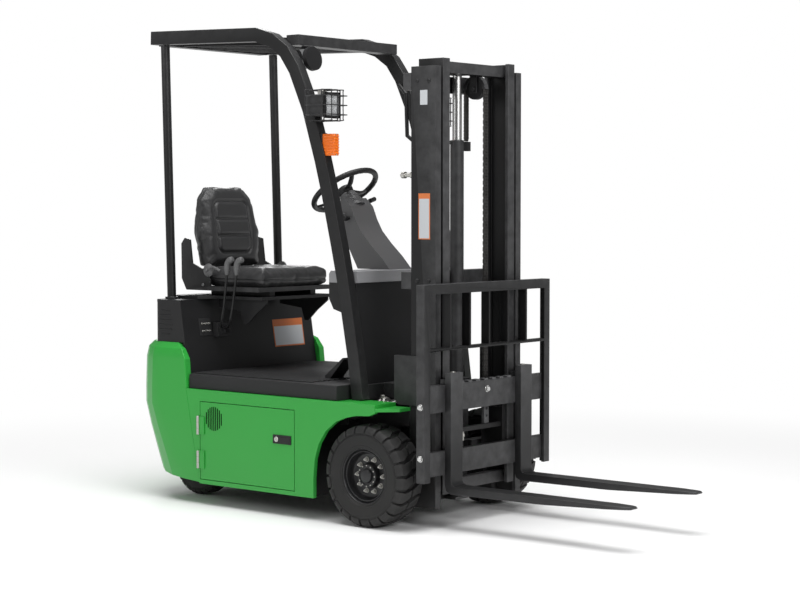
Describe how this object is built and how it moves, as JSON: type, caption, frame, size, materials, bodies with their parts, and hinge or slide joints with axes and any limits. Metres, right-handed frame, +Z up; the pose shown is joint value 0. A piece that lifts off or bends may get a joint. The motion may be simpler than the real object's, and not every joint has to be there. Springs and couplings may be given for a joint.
{
  "type": "four-wheel electric counterbalance forklift",
  "caption": "Compact electric counterbalance forklift with driver's guard, tilting two-stage mast, sliding fork carriage, steered rear wheels and a seat on a hinged hood lid.",
  "frame": {"origin": "on the floor, midway along the overall length and on the truck's centre plane", "axes": "+X forwards along the forks, +Y to the driver's left, +Z up"},
  "size_m": [2.598, 0.965, 2.115],
  "materials": {
    "green_paint": "gloss",
    "black_paint": "satin",
    "mast_paint": "satin",
    "black_plastic": "grained",
    "seat_vinyl": "grained",
    "tyre_rubber": "matte",
    "bright_steel": "ground",
    "signal_lens": "clear coat",
    "grey_plastic": "matte"
  },
  "bodies": {
    "chassis": {"chassis_frame": "black_paint", "right_side_panel": "green_paint", "left_side_panel": "green_paint", "counterweight": "green_paint", "battery": "grey_plastic", "floor_plate": "black_paint", "hood": "black_plastic", "front_cowl": "black_plastic", "steering_column": "black_plastic", "control_levers": "black_plastic", "accelerator_pedal": "black_plastic", "brake_pedal": "black_plastic", "guard_right_pillar": "black_paint", "guard_left_pillar": "black_paint", "right_rear_post": "black_paint", "left_rear_post": "black_paint", "guard_roof": "black_paint", "right_turn_signal": "signal_lens", "left_turn_signal": "signal_lens", "right_work_light": "black_plastic", "left_work_light": "black_plastic", "rear_view_mirror": "black_plastic", "grab_handle": "black_paint", "front_axle": "black_paint", "rear_axle": "black_paint"},
    "right_front_wheel": {"right_front_wheel": "tyre_rubber"},
    "left_front_wheel": {"left_front_wheel": "tyre_rubber"},
    "right_knuckle": {"right_knuckle": "black_paint"},
    "left_knuckle": {"left_knuckle": "black_paint"},
    "right_rear_wheel": {"right_rear_wheel": "tyre_rubber"},
    "left_rear_wheel": {"left_rear_wheel": "tyre_rubber"},
    "steering_wheel": {"steering_wheel": "black_plastic"},
    "right_battery_door": {"right_battery_door": "green_paint"},
    "left_battery_door": {"left_battery_door": "green_paint"},
    "seat_and_lid": {"hood_lid": "black_paint", "seat_frame": "black_paint", "seat_cushion": "seat_vinyl", "seat_back": "seat_vinyl"},
    "outer_mast": {"outer_mast_right_rail": "mast_paint", "outer_mast_left_rail": "mast_paint", "outer_mast_top_tie": "mast_paint", "outer_mast_middle_tie": "mast_paint", "outer_mast_bottom_tie": "mast_paint", "lift_cylinder": "black_paint", "lift_chain_tail": "bright_steel"},
    "inner_mast": {"inner_mast_right_rail": "mast_paint", "inner_mast_left_rail": "mast_paint", "inner_mast_bottom_tie": "mast_paint", "inner_mast_crosshead": "mast_paint", "lift_rod": "bright_steel", "lift_chain": "bright_steel"},
    "fork_carriage": {"carriage": "mast_paint", "load_backrest": "mast_paint", "right_fork": "mast_paint", "left_fork": "mast_paint"},
    "right_tilt_cylinder": {"right_tilt_cylinder": "black_paint"},
    "left_tilt_cylinder": {"left_tilt_cylinder": "black_paint"},
    "right_tilt_rod": {"right_tilt_rod": "bright_steel"},
    "left_tilt_rod": {"left_tilt_rod": "bright_steel"}
  },
  "joints": [
    {"name": "right_front_wheel_spin", "type": "hinge", "parent": "chassis", "child": "right_front_wheel", "pos_m": [0.131, -0.4025, 0.2125], "axis": [0, 1, 0], "continuous": true},
    {"name": "left_front_wheel_spin", "type": "hinge", "parent": "chassis", "child": "left_front_wheel", "pos_m": [0.131, 0.4025, 0.2125], "axis": [0, 1, 0], "continuous": true},
    {"name": "right_wheel_steer", "type": "hinge", "parent": "chassis", "child": "right_knuckle", "pos_m": [-1.029, -0.15, 0.15], "axis": [0, 0, 1], "range_deg": [-45, 45]},
    {"name": "left_wheel_steer", "type": "hinge", "parent": "chassis", "child": "left_knuckle", "pos_m": [-1.029, 0.15, 0.15], "axis": [0, 0, 1], "range_deg": [-45, 45]},
    {"name": "right_rear_wheel_spin", "type": "hinge", "parent": "right_knuckle", "child": "right_rear_wheel", "pos_m": [-1.029, -0.235, 0.15], "axis": [0, 1, 0], "continuous": true},
    {"name": "left_rear_wheel_spin", "type": "hinge", "parent": "left_knuckle", "child": "left_rear_wheel", "pos_m": [-1.029, 0.235, 0.15], "axis": [0, 1, 0], "continuous": true},
    {"name": "steering_wheel_turn", "type": "hinge", "parent": "chassis", "child": "steering_wheel", "pos_m": [-0.374, 0, 1.392], "axis": [-0.5736, 0, 0.8192], "continuous": true},
    {"name": "right_battery_door_hinge", "type": "hinge", "parent": "chassis", "child": "right_battery_door", "pos_m": [-0.824, -0.4765, 0.1125], "axis": [0, 0, 1], "range_deg": [-110, 0]},
    {"name": "left_battery_door_hinge", "type": "hinge", "parent": "chassis", "child": "left_battery_door", "pos_m": [-0.824, 0.4765, 0.1125], "axis": [0, 0, 1], "range_deg": [0, 110]},
    {"name": "hood_lid_hinge", "type": "hinge", "parent": "chassis", "child": "seat_and_lid", "pos_m": [-1.155, 0, 0.9003], "axis": [0, 1, 0], "range_deg": [-50, 0]},
    {"name": "mast_tilt", "type": "hinge", "parent": "chassis", "child": "outer_mast", "pos_m": [0.209, 0, 0.17], "axis": [0, 1, 0], "range_deg": [-6, 3]},
    {"name": "mast_lift", "type": "slide", "parent": "outer_mast", "child": "inner_mast", "axis": [0, 0, 1], "range_m": [-0.055, 1.4], "deforming": ["lift_chain_tail"]},
    {"name": "carriage_lift", "type": "slide", "parent": "inner_mast", "child": "fork_carriage", "axis": [0, 0, 1], "range_m": [-0.055, 1.4], "deforming": ["lift_chain"]},
    {"name": "right_tilt_cylinder_pin", "type": "hinge", "parent": "chassis", "child": "right_tilt_cylinder", "pos_m": [-0.114, -0.268, 0.43], "axis": [0, 1, 0], "range_deg": [-1.9, 1]},
    {"name": "right_tilt_rod_slide", "type": "slide", "parent": "right_tilt_cylinder", "child": "right_tilt_rod", "axis": [0.9545, 0, 0.2983], "range_m": [-0.0375, 0.019]},
    {"name": "left_tilt_cylinder_pin", "type": "hinge", "parent": "chassis", "child": "left_tilt_cylinder", "pos_m": [-0.114, 0.268, 0.43], "axis": [0, 1, 0], "range_deg": [-1.9, 1]},
    {"name": "left_tilt_rod_slide", "type": "slide", "parent": "left_tilt_cylinder", "child": "left_tilt_rod", "axis": [0.9545, 0, 0.2983], "range_m": [-0.0375, 0.019]}
  ],
  "couplings": [
    {"joint": "left_wheel_steer", "follows": "right_wheel_steer", "ratio": 1},
    {"joint": "carriage_lift", "follows": "mast_lift", "ratio": 1},
    {"joint": "right_tilt_cylinder_pin", "follows": "mast_tilt", "ratio": 0.2997},
    {"joint": "right_tilt_rod_slide", "follows": "mast_tilt", "m_per_rad": 0.3462},
    {"joint": "left_tilt_cylinder_pin", "follows": "mast_tilt", "ratio": 0.2997},
    {"joint": "left_tilt_rod_slide", "follows": "mast_tilt", "m_per_rad": 0.3462}
  ]
}
